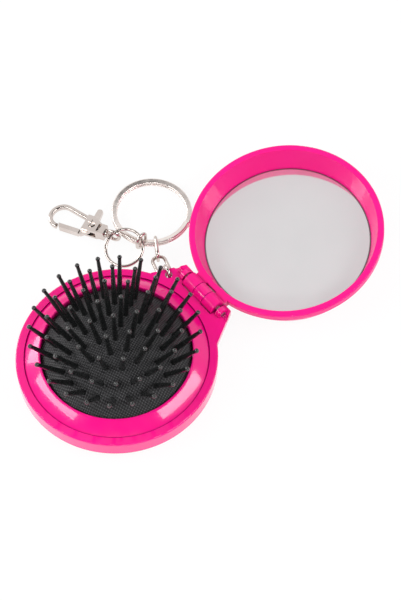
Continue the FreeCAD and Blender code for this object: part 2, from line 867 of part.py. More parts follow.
def make_clasp_ring(seat):
    """Thin jump ring with the seam of its butted ends turned away from the links."""
    ring = doc.addObject("Part::Torus", "clasp_ring")
    ring.Label = "clasp_ring"
    wire = size("jump_wire_radius")
    bind(ring, Radius1=size("jump_outer_radius") - wire, Radius2=wire, Angle3=360 - size("jump_seam_angle"))
    seam = FreeCAD.Rotation(V(0, 0, 1), size("eye_on_jump_angle").value * 2)
    ring.Placement = seat.multiply(FreeCAD.Placement(V(0, 0, 0), seam))
    return ring


def place_on_clasp(thing, seat, along=0.0, across=0.0, up=0.0):
    """Set a piece on the clasp, measured from the middle of the swivel's eye."""
    step = V(as_size(along).value, as_size(across).value, as_size(up).value)
    thing.Placement = seat.multiply(FreeCAD.Placement(step, FreeCAD.Rotation()))


collar_end = size("collar_start") + size("collar_length")
window_end = collar_end + size("window_length")
hook_centre = size("hook_tip") - size("hook_outer_radius")
hook_inner = size("hook_outer_radius") - size("hook_wire")


def make_swivel_eye(eye):
    """Wire eye with a headed stem that turns in the clasp's collar."""
    loop = doc.addObject("Part::Torus", "eye_loop")
    bind(loop, Radius1=size("eye_radius"), Radius2=size("eye_wire_radius"))
    place(loop, axis=V(1, 0, 0), angle=90)
    head_start = collar_end + size("stem_gap")
    stem = doc.addObject("Part::Cylinder", "eye_stem")
    bind(stem, Radius=size("stem_radius"), Height=head_start - size("eye_radius"))
    place(stem, x=size("eye_radius"), axis=V(0, 1, 0), angle=90)
    head = doc.addObject("Part::Cylinder", "eye_head")
    bind(head, Radius=size("stem_head_radius"), Height=size("stem_head_length"))
    place(head, x=head_start, axis=V(0, 1, 0), angle=90)
    flange = doc.addObject("Part::Cylinder", "eye_flange")
    bind(flange, Radius=size("stem_flange_radius"), Height=size("stem_flange_length"))
    place(flange, x=size("collar_start") - size("stem_gap") - size("stem_flange_length"), axis=V(0, 1, 0), angle=90)
    swivel = doc.addObject("Part::MultiFuse", "swivel_eye")
    swivel.Label = "swivel_eye"
    swivel.Shapes = [loop, stem, head, flange]
    place_on_clasp(swivel, eye)
    return swivel


def hook_flank(radius):
    """Where the hook's straight flank leaves a circle of its bend, and its height at the root."""
    lean = size("hook_lean_angle")
    leave_x = hook_centre - radius * sine(lean)
    leave_y = size("hook_across") - radius * cosine(lean)
    root_y = leave_y + (leave_x - size("hook_root")) * sine(lean) / cosine(lean)
    return leave_x, leave_y, root_y


def make_clasp_body(eye):
    """Trigger hook: a collar for the swivel, a slotted plate for the lever and an open hook."""
    body = new_body("clasp_body")
    outer = size("hook_outer_radius")
    middle = size("hook_across")
    outer_x, outer_y, outer_root = hook_flank(outer)
    inner_x, inner_y, inner_root = hook_flank(hook_inner)
    hook = new_sketch(body, "hook_outline", "XY_Plane")
    draw(hook, [
        (size("hook_root"), outer_root),
        (outer_x, outer_y),
        (hook_centre + outer, middle, outer, 1),
        (hook_centre, middle + outer, outer, 1),
        (hook_centre, middle + hook_inner),
        (hook_centre + hook_inner, middle, hook_inner, -1),
        (inner_x, inner_y, hook_inner, -1),
        (size("hook_root"), inner_root),
    ])
    padded(body, hook, size("hook_thickness"), symmetric=True)
    rounded(body, size("hook_round"), level_edge(size("hook_thickness") / 2))
    plate = new_sketch(body, "plate_outline", "XY_Plane")
    neck, top, low = size("plate_neck_half"), size("plate_top"), size("plate_low")
    draw(plate, [
        (size("collar_start"), -neck),
        (collar_end, -neck),
        (size("plate_wide"), -top),
        (size("plate_end"), -top),
        (size("plate_end"), low),
        (window_end, low),
        (collar_end, neck),
        (size("collar_start"), neck),
    ])
    padded(body, plate, size("clasp_thickness"), symmetric=True)
    window = new_sketch(body, "stem_window", "XY_Plane")
    half = size("window_half")
    draw(window, [(collar_end, -half), (window_end, -half), (window_end, half), (collar_end, half)])
    pocketed(body, window)
    slot = new_sketch(body, "lever_slot", "XY_Plane")
    side = outer * 2
    draw(slot, [
        (window_end, -side),
        (size("block_start"), -side),
        (size("block_start"), -size("block_low")),
        (size("plate_end"), -size("block_low")),
        (size("plate_end"), side),
        (window_end, side),
    ])
    pocketed(body, slot, size("slot_width"))
    bore = new_sketch(body, "stem_bore", "YZ_Plane", along=collar_end)
    draw_circle(bore, 0.0, 0.0, size("stem_radius") + size("stem_gap"))
    pocketed(body, bore, size("collar_length") * 2 + size("window_length"))
    hole = new_sketch(body, "rivet_hole", "XY_Plane")
    draw_circle(hole, size("rivet_along"), size("rivet_across"), size("rivet_radius") + size("rivet_gap"))
    pocketed(body, hole)
    place_on_clasp(body, eye)
    return body


def level_edge(level):
    """A test for edges that lie flat at a level above or below the sketch plane."""
    def chosen(edge):
        box = edge.BoundBox
        flat = box.ZMax - box.ZMin < 1e-6
        return flat and abs(abs(box.ZMax) - level.value) < 1e-6
    return chosen


def make_clasp_lever(eye):
    """Gate bar and thumb tab in one lever, turning on the rivet inside the plate's slot."""
    body = new_body("clasp_lever")
    along, across = size("rivet_along"), size("rivet_across")
    boss = size("lever_boss_radius")
    inside = size("gate_inside")
    outside = inside + size("gate_width")
    tip = hook_centre - size("gate_gap")
    bevel = size("gate_width") / 2
    middle = size("lever_lift")
    web = new_sketch(body, "lever_outline", "XY_Plane", along=middle)
    tab = size("tab_half")
    draw(web, [
        (along - tab, across - size("tab_reach")),
        (along + tab, across - size("tab_reach"), size("tab_end_radius"), 1),
        (along + tab, across - boss),
        (along + boss, across),
        (size("plate_end"), inside),
        (tip, inside),
        (tip - bevel, outside),
        (size("plate_end") - tab / 2, outside),
        (along - boss, across + tab),
    ])
    padded(body, web, size("lever_thickness"), symmetric=True)
    gate = new_sketch(body, "gate_outline", "XY_Plane", along=middle)
    gate_start = size("plate_end") + size("gate_gap")
    draw(gate, [(gate_start, inside), (tip, inside), (tip - bevel, outside), (gate_start, outside)])
    padded(body, gate, size("gate_thickness"), symmetric=True)
    hole = new_sketch(body, "lever_hole", "XY_Plane")
    draw_circle(hole, along, across, size("rivet_radius") + size("rivet_gap"))
    pocketed(body, hole)
    place_on_clasp(body, eye)
    return body


def make_clasp_rivet(eye):
    body = new_body("clasp_rivet")
    profile = new_sketch(body, "rivet_profile", "XZ_Plane")
    half = size("clasp_thickness") / 2
    top = half + size("rivet_head_height")
    radius, head = size("rivet_radius"), size("rivet_head_radius")
    draw(profile, [
        (0.0, -top), (head, -top), (head, -half), (radius, -half),
        (radius, half), (head, half), (head, top), (0.0, top),
    ])
    turned(body, profile)
    slot = size("rivet_slot_width") / 2
    for name, x, y in (("slot_along", head * 2, slot), ("slot_across", slot, head * 2)):
        cut = new_sketch(body, name, "XY_Plane", along=top)
        draw(cut, [(-x, -y), (x, -y), (x, y), (-x, y)])
        pocketed(body, cut, size("rivet_slot_depth") * 2)
    place_on_clasp(body, eye, size("rivet_along"), size("rivet_across"))
    return body


def make_clasp_spring(eye):
    """Open ring of spring wire round the rivet, under the lever."""
    spring = doc.addObject("Part::Torus", "clasp_spring")
    spring.Label = "clasp_spring"
    bind(spring, Radius1=size("spring_radius"), Radius2=size("spring_wire_radius"), Angle3=300)
    drop = size("slot_width") / 2 - size("spring_wire_radius") - size("rivet_gap")
    place_on_clasp(spring, eye, size("rivet_along"), size("rivet_across"), -drop)
    return spring


def build():
    pieces = [make_base_shell(), make_brush_collar(), make_cushion_pad(), make_push_button()]
    for name, plane, lean, count in bristle_rings():
        label = "bristle_centre" if count is None else f"bristles_{name}"
        pieces.append(make_bristles(label, plane, lean, count))
    pieces.append(make_lid_shell())
    mirror_top = -size("recess_depth")
    tape_top = mirror_top - size("mirror_thickness")
    tape_radius = mirror_radius - size("tape_inset")
    pieces.append(make_disc("mirror", mirror_radius, mirror_top, size("mirror_thickness")))
    pieces.append(make_disc("mirror_tape", tape_radius, tape_top, size("tape_thickness")))
    pieces.append(make_hinge_pin())
    links, ring_centre = chain_course()
    for label, middle, along, normal in links:
        pieces.append(make_link(label, size("link_inner_length"), middle, along, normal))
    link_middle, link_normal, jump_seat, eye = clasp_course(ring_centre)
    pieces.append(make_link("clasp_link", size("clasp_link_length"), link_middle, V(0, 0, 1), link_normal))
    pieces.append(make_split_ring(ring_centre))
    pieces.append(make_clasp_ring(jump_seat))
    pieces.append(make_swivel_eye(eye))
    pieces.append(make_clasp_body(eye))
    pieces.append(make_clasp_lever(eye))
    pieces.append(make_clasp_rivet(eye))
    pieces.append(make_clasp_spring(eye))
    return pieces


def write_parts(pieces):
    doc.recompute()
    for item in doc.Objects:
        if "Invalid" in item.State or "Error" in item.State:
            raise RuntimeError(f"{item.Label} failed: {item.State}")
    for piece in pieces:
        if piece.Shape.isNull() or not piece.Shape.isValid():
            raise RuntimeError(f"{piece.Label} has no valid shape")
    os.makedirs("parts", exist_ok=True)
    for piece in pieces:
        piece.Shape.exportStep(f"parts/{piece.Label}.step")
        solids = len(piece.Shape.Solids)
        print(piece.Label, "solids", solids, "volume", round(piece.Shape.Volume, 2))


write_parts(build())
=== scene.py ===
import json
import math

import bmesh
import bpy
from mathutils import Matrix, Vector


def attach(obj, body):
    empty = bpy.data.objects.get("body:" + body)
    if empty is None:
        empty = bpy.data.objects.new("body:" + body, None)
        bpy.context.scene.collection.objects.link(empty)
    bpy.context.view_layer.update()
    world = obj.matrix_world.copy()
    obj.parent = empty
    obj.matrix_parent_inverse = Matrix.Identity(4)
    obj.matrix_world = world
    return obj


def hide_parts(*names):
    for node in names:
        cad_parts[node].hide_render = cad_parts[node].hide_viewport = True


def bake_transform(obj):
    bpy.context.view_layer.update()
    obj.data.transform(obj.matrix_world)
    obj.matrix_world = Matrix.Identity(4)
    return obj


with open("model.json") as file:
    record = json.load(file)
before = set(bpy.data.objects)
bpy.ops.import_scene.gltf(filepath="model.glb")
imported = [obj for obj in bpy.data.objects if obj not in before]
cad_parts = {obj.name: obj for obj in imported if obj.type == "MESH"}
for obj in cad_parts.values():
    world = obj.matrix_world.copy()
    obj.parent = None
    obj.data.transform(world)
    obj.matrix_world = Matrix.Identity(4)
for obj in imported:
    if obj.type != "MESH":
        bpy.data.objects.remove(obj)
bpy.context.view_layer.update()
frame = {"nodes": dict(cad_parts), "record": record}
nodes = frame["nodes"]
MM = 0.001


# Node helpers

FULL_RANGE = (0.0, 1.0)
NOISE_RANGE = (0.3, 0.7)
WAVE_RANGE = (-1.0, 1.0)


def new_material(name):
    """A new node material, its tree and its principled shader."""
    material = bpy.data.materials.new(name)
    material.use_nodes = True
    tree = material.node_tree
    shader = next(node for node in tree.nodes if node.type == "BSDF_PRINCIPLED")
    return material, tree, shader


def link(tree, source, target):
    tree.links.new(source, target)


def tune(node, settings):
    """Set some of a node's inputs by name."""
    for name, value in settings.items():
        node.inputs[name].default_value = value


def feed(tree, item, socket):
    """Give a socket another node's output, or else a colour or a number."""
    if isinstance(item, bpy.types.NodeSocket):
        link(tree, item, socket)
    elif isinstance(item, tuple):
        socket.default_value = (*item, 1.0)
    else:
        socket.default_value = item


def object_place(tree):
    """Object coordinates, in metres."""
    return tree.nodes.new("ShaderNodeTexCoord").outputs["Object"]


def noise(tree, scale, detail=3.0):
    """Grey noise, with its scale counted per metre."""
    node = tree.nodes.new("ShaderNodeTexNoise")
    tune(node, {"Scale": scale, "Detail": detail, "Roughness": 0.55})
    link(tree, object_place(tree), node.inputs["Vector"])
    return node.outputs["Fac"]


def spread(tree, value, low, high, source=NOISE_RANGE):
    """Stretch a grey value from its source range to the range from low to high."""
    node = tree.nodes.new("ShaderNodeMapRange")
    tune(node, {"From Min": source[0], "From Max": source[1], "To Min": low, "To Max": high})
    link(tree, value, node.inputs["Value"])
    return node.outputs["Result"]


def maths(tree, operation, first, second=None):
    node = tree.nodes.new("ShaderNodeMath")
    node.operation = operation
    feed(tree, first, node.inputs[0])
    if second is not None:
        feed(tree, second, node.inputs[1])
    return node.outputs["Value"]


def mixed_colour(tree, fac, first, second):
    """The first colour where the factor is 0, the second where it is 1."""
    node = tree.nodes.new("ShaderNodeMix")
    node.data_type = "RGBA"
    link(tree, fac, node.inputs["Factor"])
    feed(tree, first, node.inputs["A"])
    feed(tree, second, node.inputs["B"])
    return node.outputs["Result"]


def mixed_shader(tree, fac, first, second):
    """The first shader where the factor is 0, the second where it is 1."""
    node = tree.nodes.new("ShaderNodeMixShader")
    link(tree, fac, node.inputs["Fac"])
    link(tree, first, node.inputs[1])
    link(tree, second, node.inputs[2])
    return node.outputs["Shader"]


def bumped(tree, shader, height, depth, strength):
    node = tree.nodes.new("ShaderNodeBump")
    tune(node, {"Strength": strength, "Distance": depth})
    link(tree, height, node.inputs["Height"])
    link(tree, node.outputs["Normal"], shader.inputs["Normal"])


# Pink plastic

PINK = (0.840, 0.002, 0.230)
PINK_DEEP = (0.805, 0.001, 0.205)
# Painted shade: a darker pink mixed in where ambient occlusion finds creases, grooves and
# recesses
PINK_PAINTED_SHADE = (0.420, 0.000, 0.120)
PAINTED_SHADE_REACH = 1.6 * MM
PAINTED_SHADE_RAYS = 8
PAINTED_SHADE_FADE = (0.35, 0.85)
FLOW_SCALE = 40.0
RIPPLE_SCALE = 180.0
SKIN_SCALE = 420.0
SKIN_DEPTH = 0.02 * MM


def pink_plastic(name, coat, roughness):
    """Moulded plastic with painted shade darkening its creases, a faint flow in its colour and a
    ripple in its shine.
    """
    material, tree, shader = new_material(name)
    # Painted shade: ambient occlusion darkens the pink in creases and grooves
    shade_probe = tree.nodes.new("ShaderNodeAmbientOcclusion")
    shade_probe.samples = PAINTED_SHADE_RAYS
    tune(shade_probe, {"Distance": PAINTED_SHADE_REACH})
    unshaded = spread(tree, shade_probe.outputs["AO"], 0.0, 1.0, PAINTED_SHADE_FADE)
    flow = spread(tree, noise(tree, FLOW_SCALE), 0.0, 1.0)
    unshaded_pink = mixed_colour(tree, flow, PINK, PINK_DEEP)
    colour = mixed_colour(tree, unshaded, PINK_PAINTED_SHADE, unshaded_pink)
    link(tree, colour, shader.inputs["Base Color"])
    ripple = spread(tree, noise(tree, RIPPLE_SCALE), *roughness)
    link(tree, ripple, shader.inputs["Roughness"])
    tune(shader, {
        "Specular IOR Level": 0.25,
        "Coat Weight": coat,
        "Coat IOR": 1.55,
        "Coat Roughness": 0.03,
        "Subsurface Weight": 0.10,
        "Subsurface Radius": (1.0, 0.25, 0.4),
        "Subsurface Scale": 1.2 * MM,
    })
    bumped(tree, shader, noise(tree, SKIN_SCALE, detail=2.0), SKIN_DEPTH, strength=0.5)
    return material


# Black rubber

RUBBER_DARK = (0.002, 0.002, 0.003)
# Painted sheen: the paler colour painted on the tops of the weave's knots
RUBBER_KNOT_SHEEN = (0.095, 0.095, 0.100)
RUBBER_ROUGHNESS = (0.42, 0.60)
WEAVE_PITCH = 1.1 * MM
WEAVE_TURN = 0.35
WEAVE_DEPTH = 0.16 * MM
KNOT_POWER = 2.5
PATCH_SCALE = 260.0
LEAST_KNOT_SHEEN = 0.55


def woven_rubber():
    """Black rubber with a fine square weave pressed into it, whose knots carry a painted sheen
    that a noise makes uneven.
    """
    material, tree, shader = new_material("black_rubber")
    turn = tree.nodes.new("ShaderNodeVectorRotate")
    turn.rotation_type = "Z_AXIS"
    tune(turn, {"Angle": WEAVE_TURN})
    link(tree, object_place(tree), turn.inputs["Vector"])
    split = tree.nodes.new("ShaderNodeSeparateXYZ")
    link(tree, turn.outputs["Vector"], split.inputs["Vector"])
    step = 2.0 * math.pi / WEAVE_PITCH
    across = maths(tree, "SINE", maths(tree, "MULTIPLY", split.outputs["X"], step))
    down = maths(tree, "SINE", maths(tree, "MULTIPLY", split.outputs["Y"], step))
    height = spread(tree, maths(tree, "MULTIPLY", across, down), 0.0, 1.0, WAVE_RANGE)
    # Painted sheen: the knots are painted paler, more in some patches than in others; the same
    # patches vary the roughness
    patchiness = spread(tree, noise(tree, PATCH_SCALE, detail=4.0), 0.0, 1.0)
    knots = maths(tree, "POWER", height, KNOT_POWER)
    knot_sheen = maths(tree, "MULTIPLY", knots, spread(tree, patchiness, LEAST_KNOT_SHEEN, 1.0, FULL_RANGE))
    colour = mixed_colour(tree, knot_sheen, RUBBER_DARK, RUBBER_KNOT_SHEEN)
    link(tree, colour, shader.inputs["Base Color"])
    link(tree, spread(tree, patchiness, *RUBBER_ROUGHNESS, FULL_RANGE), shader.inputs["Roughness"])
    tune(shader, {"Specular IOR Level": 0.35})
    bumped(tree, shader, height, WEAVE_DEPTH, strength=1.0)
    return material


# Black nylon

NYLON = (0.004, 0.005, 0.005)
NYLON_PALE = (0.009, 0.010, 0.010)
NYLON_ROUGHNESS = (0.20, 0.34)
NYLON_TONE_SCALE = 900.0
NYLON_SHINE_SCALE = 700.0
NYLON_SKIN_SCALE = 1500.0


def nylon():
    """Black moulded nylon, satin, with a slightly uneven skin."""
    material, tree, shader = new_material("black_nylon")
    colour = mixed_colour(tree, noise(tree, NYLON_TONE_SCALE), NYLON, NYLON_PALE)
    link(tree, colour, shader.inputs["Base Color"])
    shine = spread(tree, noise(tree, NYLON_SHINE_SCALE), *NYLON_ROUGHNESS)
    link(tree, shine, shader.inputs["Roughness"])
    tune(shader, {"Coat Weight": 0.5, "Coat IOR": 1.6, "Coat Roughness": 0.08})
    bumped(tree, shader, noise(tree, NYLON_SKIN_SCALE, detail=2.0), SKIN_DEPTH, strength=0.4)
    return material


# Metals

NICKEL = (0.56, 0.495, 0.46)
NICKEL_PALE = (0.64, 0.585, 0.55)
RING_NICKEL = (0.78, 0.71, 0.67)
RING_PALE = (0.86, 0.80, 0.76)
STEEL = (0.45, 0.45, 0.46)
STEEL_PALE = (0.55, 0.55, 0.56)
PLATE_TONE_SCALE = 160.0
WIRE_TONE_SCALE = 260.0
METAL_SHINE_SCALE = 500.0
MARK_SCALE = 1300.0
MARK_DEPTH = 0.02 * MM
FLAT_SCALE = 300.0
FLAT_DEPTH = 0.4 * MM


def smooth_metal(name, colour, pale, roughness, tone_scale):
    """A metal that varies a little in tone and shine, with its tree and shader."""
    material, tree, shader = new_material(name)
    tone = spread(tree, noise(tree, tone_scale), 0.0, 1.0)
    link(tree, mixed_colour(tree, tone, colour, pale), shader.inputs["Base Color"])
    shine = spread(tree, noise(tree, METAL_SHINE_SCALE, detail=4.0), *roughness)
    link(tree, shine, shader.inputs["Roughness"])
    tune(shader, {"Metallic": 1.0})
    return material, tree, shader


def rubbed_metal(name, colour, pale, roughness):
    """Metal with fine rubbed marks."""
    material, tree, shader = smooth_metal(name, colour, pale, roughness, PLATE_TONE_SCALE)
    bumped(tree, shader, noise(tree, MARK_SCALE, detail=3.0), MARK_DEPTH, strength=0.4)
    return material


def hammered_metal(name, colour, pale, roughness):
    """Wire with small hammered flats along it."""
    material, tree, shader = smooth_metal(name, colour, pale, roughness, WIRE_TONE_SCALE)
    flats = tree.nodes.new("ShaderNodeTexVoronoi")
    tune(flats, {"Scale": FLAT_SCALE})
    link(tree, object_place(tree), flats.inputs["Vector"])
    bumped(tree, shader, flats.outputs["Distance"], FLAT_DEPTH, strength=0.25)
    return material


# Mirror

SILVER = (0.86, 0.855, 0.865)
SILVER_PALE = (0.89, 0.885, 0.895)
# Partly the grey of a ground edge and partly painted shade: the dark line along the mirror's rim
GROUND_EDGE_AND_SHADE = (0.26, 0.22, 0.23)
MIRROR_RADIUS = 28.4 * MM
EDGE_BAND_FADE = (MIRROR_RADIUS - 0.45 * MM, MIRROR_RADIUS - 0.25 * MM)
GROUND_ROUGHNESS = 0.2
SMEAR_SCALE = 60.0
FILM_SCALE = 120.0
FILM_ROUGHNESS = (0.05, 0.10)


def mirror_glass():
    """Silvered glass under a thin film, with a darker ground edge round it that is partly painted
    shade along the rim.
    """
    material, tree, shader = new_material("mirror_glass")
    corners = [Vector(corner) for corner in nodes["mirror"].bound_box]
    centre = sum(corners, Vector()) / len(corners)
    reach = tree.nodes.new("ShaderNodeVectorMath")
    reach.operation = "DISTANCE"
    link(tree, object_place(tree), reach.inputs[0])
    reach.inputs[1].default_value = centre
    # Band at the mirror's rim: darker as a ground edge and as painted shade, and rougher as a
    # ground edge
    edge_ground_and_shade = spread(tree, reach.outputs["Value"], 0.0, 1.0, EDGE_BAND_FADE)
    smear = spread(tree, noise(tree, SMEAR_SCALE, detail=4.0), 0.0, 1.0)
    silvering = mixed_colour(tree, smear, SILVER, SILVER_PALE)
    link(tree, mixed_colour(tree, edge_ground_and_shade, silvering, GROUND_EDGE_AND_SHADE), shader.inputs["Base Color"])
    film = spread(tree, noise(tree, FILM_SCALE, detail=5.0), *FILM_ROUGHNESS)
    rough = maths(tree, "ADD", film, maths(tree, "MULTIPLY", edge_ground_and_shade, GROUND_ROUGHNESS))
    link(tree, rough, shader.inputs["Roughness"])
    tune(shader, {"Metallic": 0.80})
    return material


# Foam tape and button

FOAM = (0.70, 0.70, 0.67)
FOAM_PALE = (0.78, 0.78, 0.75)
FOAM_SCALE = 900.0
BUTTON = (0.012, 0.012, 0.013)
BUTTON_PALE = (0.03, 0.03, 0.03)
BUTTON_SCALE = 500.0
MATTE_ROUGHNESS = (0.5, 0.7)
MATTE_DEPTH = 0.05 * MM


def plain_matte(name, colour, pale, scale):
    """A dull material with a fine grain."""
    material, tree, shader = new_material(name)
    tone = mixed_colour(tree, noise(tree, scale, detail=4.0), colour, pale)
    link(tree, tone, shader.inputs["Base Color"])
    shine = spread(tree, noise(tree, scale * 2.0), *MATTE_ROUGHNESS)
    link(tree, shine, shader.inputs["Roughness"])
    bumped(tree, shader, noise(tree, scale * 3.0), MATTE_DEPTH, strength=0.4)
    return material


# Materials of the nodes

pink = pink_plastic("pink_plastic", coat=0.5, roughness=(0.13, 0.22))
rubber = woven_rubber()
black = nylon()

MATERIAL_OF_SLOT = {
    "pink_plastic": pink,
    "black_rubber": rubber,
    "black_nylon": black,
    "nickel": rubbed_metal("nickel", NICKEL, NICKEL_PALE, roughness=(0.08, 0.16)),
    "pin_steel": rubbed_metal("pin_steel", STEEL, STEEL_PALE, roughness=(0.25, 0.4)),
    "mirror_glass": mirror_glass(),
    "foam_tape": plain_matte("foam_tape", FOAM, FOAM_PALE, FOAM_SCALE),
    "button_plastic": plain_matte("button_plastic", BUTTON, BUTTON_PALE, BUTTON_SCALE),
}
# Nodes that look different from the others of their slot
MATERIAL_OF_NODE = {
    "split_ring": hammered_metal("ring_nickel", RING_NICKEL, RING_PALE, roughness=(0.24, 0.34)),
    "lid_shell": pink_plastic("lid_pink", coat=0.12, roughness=(0.32, 0.42)),
}
for entry in frame["record"]["subparts"]:
    usual = MATERIAL_OF_SLOT[entry["material_slot"]]
    for material_slot in nodes[entry["node"]].material_slots:
        material_slot.material = MATERIAL_OF_NODE.get(entry["node"], usual)


# Brush: pad, bristles and collar

# The crown is a cap of a sphere whose centre lies under the table
CROWN_RADIUS = 33.8 * MM
CROWN_CENTRE = -12.75 * MM
BRUSH_TURN = math.radians(4.0)
PAD_EDGE = 24.7 * MM
PAD_TUCK = 9.2 * MM
PAD_TUCK_WIDTH = 1.5 * MM
PAD_TURN_UP = 1.2 * MM
PAD_TURN_UP_START = 21.3 * MM
PAD_STEPS = 32
PAD_SIDES = 128
# The rim round a bristle's root, in millimetres
ROOT_RADIUS = 1.02
ROOT_WIDTH = 0.75
ROOT_HEIGHT = 0.34
ROOT_SINK = 0.06
ROOT_FULLNESS = 0.8
ROOT_STEPS = 6
# Radius and height over the crown, in millimetres
BRISTLE_SHAFT = (
    (0.0, -1.2), (0.95, -1.2), (0.95, 0.0), (0.93, 2.5),
    (0.86, 6.0), (0.74, 9.5), (0.63, 12.5), (0.60, 13.6),
)
BRISTLE_LENGTH = 15.0 * MM
BRISTLE_SIDES = 20
BALL_RADIUS = 0.78 * MM
BALL_STEPS = 8
# Radius and height of the collar's outline, in millimetres
COLLAR_LIP = ((24.75, 8.6), (24.75, 13.05), (24.80, 13.22), (24.92, 13.34), (25.10, 13.39))
SLOPE_TOP = (25.30, 13.36)
SLOPE_FOOT = (30.22, 10.25)
SLOPE_BULGE = 0.11
SLOPE_STEPS = 12
COLLAR_SKIRT = ((30.22, 10.00), (30.15, 9.80), (30.15, 6.80), (28.65, 6.80), (28.65, 8.60))
COLLAR_SIDES = 192
SHARP_ANGLE = math.radians(40.0)
ON_AXIS = 1e-9
SAME_PLACE = 0.001 * MM
# Lean in degrees, count, first angle in degrees, body and node of each ring
RINGS = (
    (0.0, 1, 0.0, "plunger", "bristle_centre"),
    (8.95, 6, 90.0, "ring_1", "bristles_ring_1"),
    (17.56, 12, 0.0, "ring_2", "bristles_ring_2"),
    (26.46, 18, 90.0, "ring_3", "bristles_ring_3"),
    (34.41, 24, 0.0, "ring_4", "bristles_ring_4"),
)


def lathe(mesh, profile, sides, move=Matrix.Identity(4)):
    """Turn a line of (radius, height) points about Z, closed where it meets Z, and move it."""
    rows = []
    for radius, height in profile:
        if radius < ON_AXIS:
            rows.append([mesh.verts.new(move @ Vector((0.0, 0.0, height)))])
            continue
        row = []
        for index in range(sides):
            angle = 2.0 * math.pi * index / sides
            point = Vector((radius * math.cos(angle), radius * math.sin(angle), height))
            row.append(mesh.verts.new(move @ point))
        rows.append(row)
    for upper, lower in zip(rows, rows[1:]):
        for index in range(sides):
            after = (index + 1) % sides
            if len(upper) == 1:
                mesh.faces.new((upper[0], lower[index], lower[after]))
            elif len(lower) == 1:
                mesh.faces.new((upper[index], lower[0], upper[after]))
            else:
                mesh.faces.new((upper[index], lower[index], lower[after], upper[after]))


def square_to_crown(lean, count, first):
    """For each bristle of a ring, the move that stands an upright form square to the crown."""
    moves = []
    for index in range(count):
        angle = math.radians(first + 360.0 * index / count) + BRUSH_TURN
        turn = Matrix.Rotation(angle, 4, "Z") @ Matrix.Rotation(math.radians(lean), 4, "Y")
        moves.append(Matrix.Translation((0.0, 0.0, CROWN_CENTRE)) @ turn)
    return moves


def root_rim_profile():
    """A low moulded rim where a bristle leaves the pad."""
    profile = []
    for index in range(ROOT_STEPS + 1):
        part = index / ROOT_STEPS
        rise = ROOT_HEIGHT * math.cos(part * math.pi / 2.0) ** ROOT_FULLNESS - ROOT_SINK
        profile.append(((ROOT_RADIUS + ROOT_WIDTH * part) * MM, CROWN_RADIUS + rise * MM))
    return profile


def bristle_profile():
    """One bristle from its seat in the pad, drawn in along its length, to its ball tip."""
    profile = [(radius * MM, CROWN_RADIUS + height * MM) for radius, height in BRISTLE_SHAFT]
    sweep = math.pi - math.asin(BRISTLE_SHAFT[-1][0] * MM / BALL_RADIUS)
    centre = CROWN_RADIUS + BRISTLE_LENGTH - BALL_RADIUS
    for index in range(BALL_STEPS + 1):
        turn = sweep - sweep * index / BALL_STEPS
        profile.append((BALL_RADIUS * math.sin(turn), centre + BALL_RADIUS * math.cos(turn)))
    return profile


def smooth_object(name, mesh, material):
    """A smooth-shaded object of a finished bmesh."""
    data = bpy.data.meshes.new(name)
    bmesh.ops.recalc_face_normals(mesh, faces=mesh.faces)
    mesh.to_mesh(data)
    mesh.free()
    data.polygons.foreach_set("use_smooth", [True] * len(data.polygons))
    made = bpy.data.objects.new(name, data)
    bpy.context.collection.objects.link(made)
    data.materials.append(material)
    return made


def make_pad():
    """The rubber dome, its tuck under the collar and the rims round the bristles."""
    mesh = bmesh.new()
    edge_angle = math.asin(PAD_EDGE / CROWN_RADIUS)
    profile = []
    for index in range(PAD_STEPS + 1):
        lean = edge_angle * index / PAD_STEPS
        radius = CROWN_RADIUS * math.sin(lean)
        part = max(0.0, (radius - PAD_TURN_UP_START) / (PAD_EDGE - PAD_TURN_UP_START))
        turn_up = PAD_TURN_UP * part * part * (3.0 - 2.0 * part)
        profile.append((radius, CROWN_CENTRE + CROWN_RADIUS * math.cos(lean) + turn_up))
    profile.append((PAD_EDGE, PAD_TUCK))
    profile.append((PAD_EDGE - PAD_TUCK_WIDTH, PAD_TUCK))
    lathe(mesh, profile, PAD_SIDES)
    for lean, count, first, _, _ in RINGS:
        for move in square_to_crown(lean, count, first):
            lathe(mesh, root_rim_profile(), BRISTLE_SIDES, move)
    pad = smooth_object("brush_pad", mesh, rubber)
    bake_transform(pad)
    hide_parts("cushion_pad")


def make_bristles(moves, body, node):
    """One ring of bristles, which taper smoothly from root to tip."""
    mesh = bmesh.new()
    for move in moves:
        lathe(mesh, bristle_profile(), BRISTLE_SIDES, move)
    bristles = smooth_object("tapered_" + node, mesh, black)
    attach(bristles, body)
    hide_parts(node)


def make_collar():
    """The pink ring round the pad, whose slope is lower and rounder than the solid's."""
    (top_radius, top), (foot_radius, foot) = SLOPE_TOP, SLOPE_FOOT
    run, fall = foot_radius - top_radius, top - foot
    length = math.hypot(run, fall)
    slope = []
    for index in range(SLOPE_STEPS + 1):
        part = index / SLOPE_STEPS
        bulge = 4.0 * SLOPE_BULGE * part * (1.0 - part)
        radius = top_radius + run * part + bulge * fall / length
        slope.append((radius, top - fall * part + bulge * run / length))
    outline = list(COLLAR_LIP) + slope + list(COLLAR_SKIRT) + [COLLAR_LIP[0]]
    mesh = bmesh.new()
    lathe(mesh, [(radius * MM, height * MM) for radius, height in outline], COLLAR_SIDES)
    bmesh.ops.remove_doubles(mesh, verts=mesh.verts, dist=SAME_PLACE)
    for edge in mesh.edges:
        edge.smooth = edge.calc_face_angle(0.0) < SHARP_ANGLE
    collar = smooth_object("sloped_collar", mesh, pink)
    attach(collar, "base")
    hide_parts("brush_collar")


make_pad()
for lean, count, first, body, node in RINGS:
    make_bristles(square_to_crown(lean, count, first), body, node)
make_collar()


# Floor

FLOOR_HALF = 3.0
FLOOR_GREY = (0.93, 0.93, 0.93)
